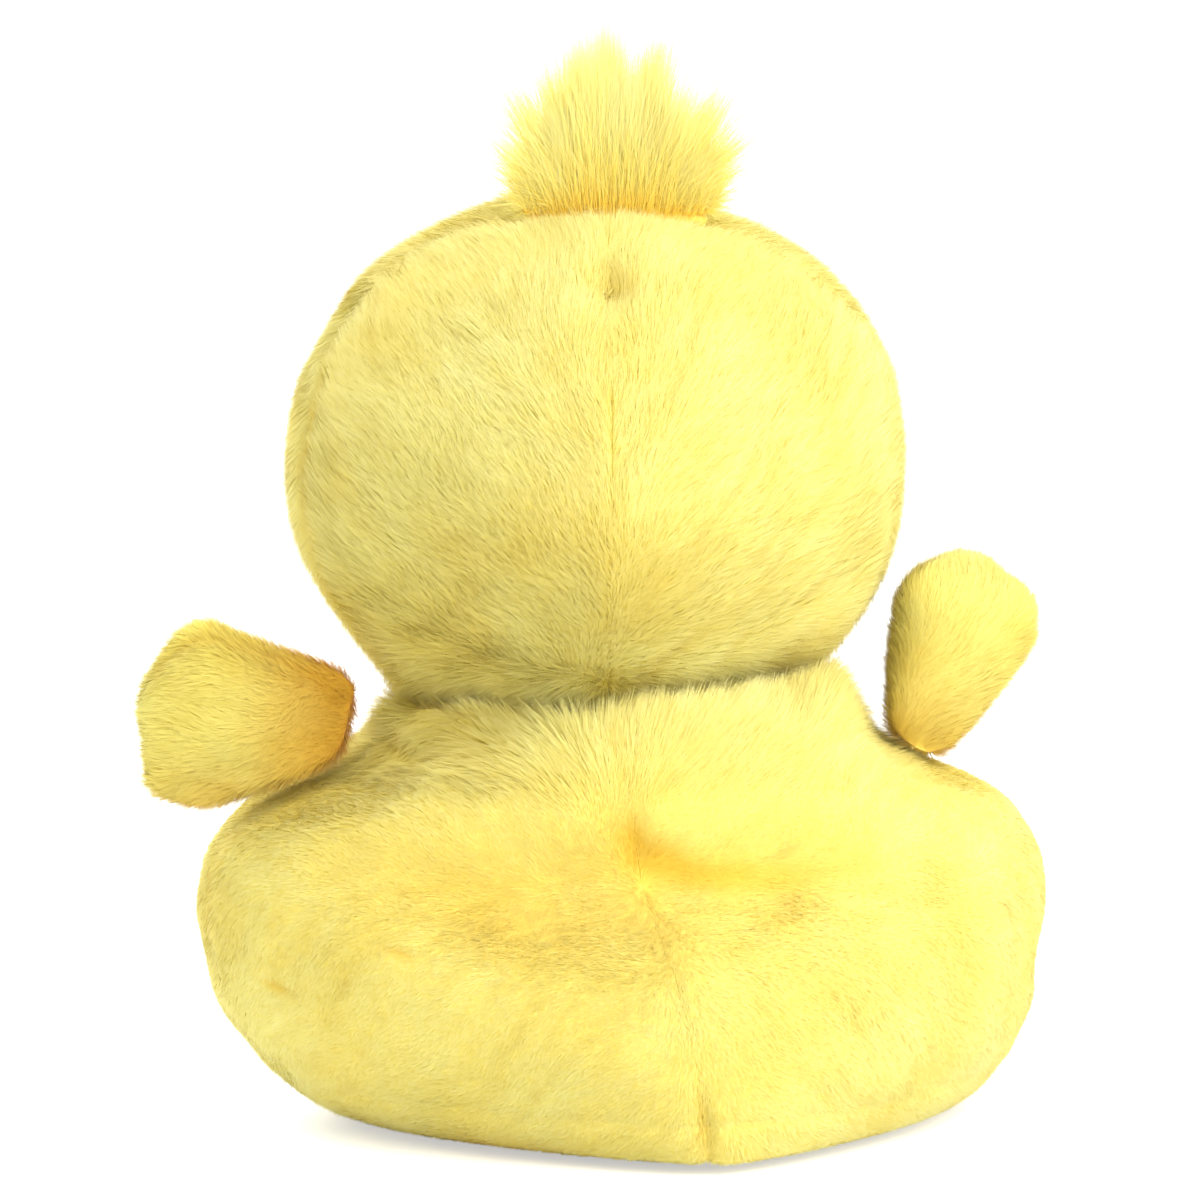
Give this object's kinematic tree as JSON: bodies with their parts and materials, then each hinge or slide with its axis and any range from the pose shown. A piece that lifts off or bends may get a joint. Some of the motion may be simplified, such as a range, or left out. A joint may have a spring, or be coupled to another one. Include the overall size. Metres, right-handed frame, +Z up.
{
  "type": "plush duck",
  "caption": "Small seated plush duck with a round head, a fluffy crest, stubby wings, flat feet and a pellet-weighted seat.",
  "frame": {"origin": "middle of the flat seat, on the surface that the duck sits on", "axes": "+Z up, the duck faces -Y, its own left is +X"},
  "size_m": [0.1025, 0.0953, 0.1228],
  "materials": {
    "fur": "soft pale yellow plush fur, deeper orange-yellow at the roots",
    "felt": "brushed orange short-pile cloth",
    "fibre": "white polyester fibre stuffing",
    "lining": "plain woven lining cloth",
    "pellet": "small plastic pellets",
    "eye": "glossy black safety eye",
    "washer": "natural nylon"
  },
  "bodies": {
    "torso": {"base_panel": "fur", "belly_panel": "fur", "back_left_panel": "fur", "back_right_panel": "fur", "pellet_bag": "lining", "pellets": "pellet", "body_fill": "fibre"},
    "neck": {"neck_fill": "fibre"},
    "head": {"face_panel": "fur", "head_back_left_panel": "fur", "head_back_right_panel": "fur", "head_fill": "fibre", "bill_top_panel": "felt", "bill_bottom_panel": "felt", "bill_fill": "fibre", "left_eye": "eye", "right_eye": "eye", "left_eye_washer": "washer", "right_eye_washer": "washer"},
    "crest": {"crest": "fur"},
    "left_wing": {"left_wing_back_panel": "fur", "left_wing_front_panel": "fur", "left_wing_fill": "fibre"},
    "right_wing": {"right_wing_back_panel": "fur", "right_wing_front_panel": "fur", "right_wing_fill": "fibre"},
    "left_foot": {"left_foot_top_panel": "felt", "left_foot_sole_panel": "felt", "left_foot_fill": "fibre"},
    "right_foot": {"right_foot_top_panel": "felt", "right_foot_sole_panel": "felt", "right_foot_fill": "fibre"}
  },
  "joints": [
    {"name": "head_turn", "type": "hinge", "parent": "torso", "child": "neck", "pos_m": [0.0016, -0.006, 0.0732], "axis": [0, 0, 1], "range_deg": [-20, 20], "stiffness_Nm_per_rad": 0.02},
    {"name": "head_nod", "type": "hinge", "parent": "neck", "child": "head", "pos_m": [0.0016, -0.006, 0.0732], "axis": [0.9877, -0.1564, 0], "range_deg": [-12, 12], "stiffness_Nm_per_rad": 0.03},
    {"name": "crest_sway", "type": "hinge", "parent": "head", "child": "crest", "pos_m": [0.00165, 0.00456, 0.10045], "axis": [0.9877, -0.1564, 0], "range_deg": [-22, 22], "stiffness_Nm_per_rad": 0.003},
    {"name": "left_wing_flap", "type": "hinge", "parent": "torso", "child": "left_wing", "pos_m": [0.0355, 0.0015, 0.0433], "axis": [0, -1, 0], "range_deg": [-4, 41], "stiffness_Nm_per_rad": 0.005},
    {"name": "right_wing_flap", "type": "hinge", "parent": "torso", "child": "right_wing", "pos_m": [-0.0355, 0.0015, 0.0433], "axis": [0, 1, 0], "range_deg": [-68, 4], "stiffness_Nm_per_rad": 0.005},
    {"name": "left_foot_flex", "type": "hinge", "parent": "torso", "child": "left_foot", "pos_m": [0.017, -0.03525, 0.0045], "axis": [-0.9703, -0.2419, 0], "range_deg": [0, 45], "stiffness_Nm_per_rad": 0.005},
    {"name": "right_foot_flex", "type": "hinge", "parent": "torso", "child": "right_foot", "pos_m": [-0.017, -0.03525, 0.0045], "axis": [-0.9703, 0.2419, 0], "range_deg": [0, 45], "stiffness_Nm_per_rad": 0.005}
  ]
}
